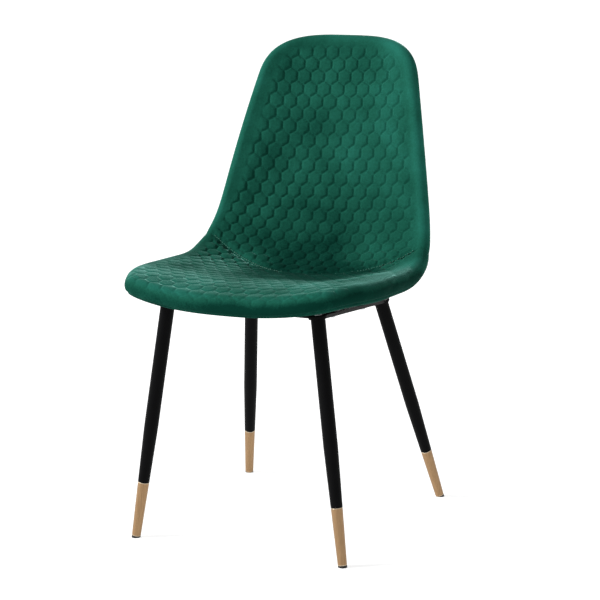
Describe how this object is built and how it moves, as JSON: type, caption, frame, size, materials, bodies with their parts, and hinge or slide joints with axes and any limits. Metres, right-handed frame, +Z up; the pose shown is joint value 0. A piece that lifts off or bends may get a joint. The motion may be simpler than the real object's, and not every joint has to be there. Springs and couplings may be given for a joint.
{
  "type": "dining chair",
  "caption": "Upholstered bucket dining chair with honeycomb-quilted green velvet seat and back on splayed round black steel legs with gold tips.",
  "frame": {"origin": "on the floor, under the middle of the chair's bounding box", "axes": "+Z up, +X to the sitter's left, -Y towards the front of the seat"},
  "size_m": [0.4686, 0.5588, 0.8663],
  "materials": {
    "quilted_velvet": "short-pile emerald velvet, quilted in a honeycomb",
    "plain_velvet": "short-pile emerald velvet, plain",
    "nonwoven": "black spun-bonded dust cover",
    "foam": "cut polyurethane foam",
    "moulded_plastic": "moulded polypropylene",
    "black_plastic": "moulded nylon glide",
    "black_steel": "satin black powder coat",
    "gold_metal": "satin pale gold with fine lengthwise brushing",
    "zinc_steel": "bright zinc plate",
    "brass": "turned brass"
  },
  "bodies": {
    "root": {"seat_shell": "moulded_plastic", "seat_foam": "foam", "back_foam": "foam", "seat_cover": "quilted_velvet", "back_cover": "quilted_velvet", "outer_cover": "plain_velvet", "dust_cover": "nonwoven", "front_left_leg_tube": "black_steel", "front_left_gold_tip": "gold_metal", "front_left_glide": "black_plastic", "front_left_leg_plate": "black_steel", "front_left_leg_plug": "zinc_steel", "front_left_leg_bolt": "zinc_steel", "front_right_leg_tube": "black_steel", "front_right_gold_tip": "gold_metal", "front_right_glide": "black_plastic", "front_right_leg_plate": "black_steel", "front_right_leg_plug": "zinc_steel", "front_right_leg_bolt": "zinc_steel", "rear_left_leg_tube": "black_steel", "rear_left_gold_tip": "gold_metal", "rear_left_glide": "black_plastic", "rear_left_leg_plate": "black_steel", "rear_left_leg_plug": "zinc_steel", "rear_left_leg_bolt": "zinc_steel", "rear_right_leg_tube": "black_steel", "rear_right_gold_tip": "gold_metal", "rear_right_glide": "black_plastic", "rear_right_leg_plate": "black_steel", "rear_right_leg_plug": "zinc_steel", "rear_right_leg_bolt": "zinc_steel", "front_rail": "black_steel", "rear_rail": "black_steel", "left_rail": "black_steel", "right_rail": "black_steel", "front_left_frame_bolt": "zinc_steel", "front_left_washer": "zinc_steel", "front_left_insert": "brass", "front_right_frame_bolt": "zinc_steel", "front_right_washer": "zinc_steel", "front_right_insert": "brass", "rear_left_frame_bolt": "zinc_steel", "rear_left_washer": "zinc_steel", "rear_left_insert": "brass", "rear_right_frame_bolt": "zinc_steel", "rear_right_washer": "zinc_steel", "rear_right_insert": "brass"}
  },
  "joints": []
}
